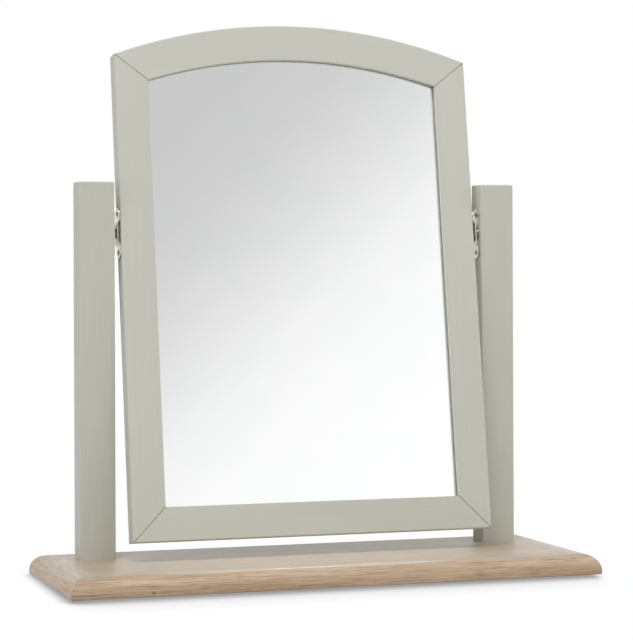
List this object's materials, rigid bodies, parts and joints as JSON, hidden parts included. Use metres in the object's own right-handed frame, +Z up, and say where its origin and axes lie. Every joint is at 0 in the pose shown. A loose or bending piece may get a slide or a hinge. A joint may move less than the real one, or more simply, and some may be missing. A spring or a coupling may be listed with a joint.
{
  "type": "dressing table mirror",
  "caption": "Free-standing arched mirror in a mitred painted frame that swings on friction hinges between square posts on an oak plinth with a quarter-round edge.",
  "frame": {"origin": "on the table, under the middle of the plinth", "axes": "+X to the viewer's right along the plinth, +Y away from the viewer, +Z up"},
  "size_m": [0.6, 0.225, 0.6216],
  "materials": {
    "oak": "limed oak, matt lacquer",
    "paint": "sage grey satin paint on wood",
    "beech": "bare fluted dowel",
    "screw_steel": "zinc plated",
    "hinge_metal": "bright nickel plate on pressed steel",
    "nylon": "natural nylon",
    "felt": "pressed felt",
    "foam": "closed-cell foam",
    "hardboard": "smooth brown hardboard",
    "silvered_glass": "polished silvered float glass"
  },
  "bodies": {
    "stand": {"base_board": "oak", "left_post": "paint", "right_post": "paint", "post_dowels": "beech", "post_screws": "screw_steel", "foot_pad_front_left": "felt", "foot_pad_front_right": "felt", "foot_pad_back_left": "felt", "foot_pad_back_right": "felt", "left_post_plate": "hinge_metal", "right_post_plate": "hinge_metal", "left_post_plate_screws": "screw_steel", "right_post_plate_screws": "screw_steel", "left_pivot_rivet": "hinge_metal", "right_pivot_rivet": "hinge_metal", "left_friction_washer": "nylon", "right_friction_washer": "nylon", "left_spring_washer": "screw_steel", "right_spring_washer": "screw_steel"},
    "mirror": {"left_stile": "paint", "right_stile": "paint", "bottom_rail": "paint", "top_rail": "paint", "mitre_dowels": "beech", "mirror_glass": "silvered_glass", "glass_spacer_pads": "foam", "back_panel": "hardboard", "back_panel_screws": "screw_steel", "left_frame_plate": "hinge_metal", "right_frame_plate": "hinge_metal", "left_frame_plate_screws": "screw_steel", "right_frame_plate_screws": "screw_steel"}
  },
  "joints": [
    {"name": "mirror_tilt", "type": "hinge", "parent": "stand", "child": "mirror", "pos_m": [0, 0.05, 0.383], "axis": [1, 0, 0], "continuous": true}
  ]
}
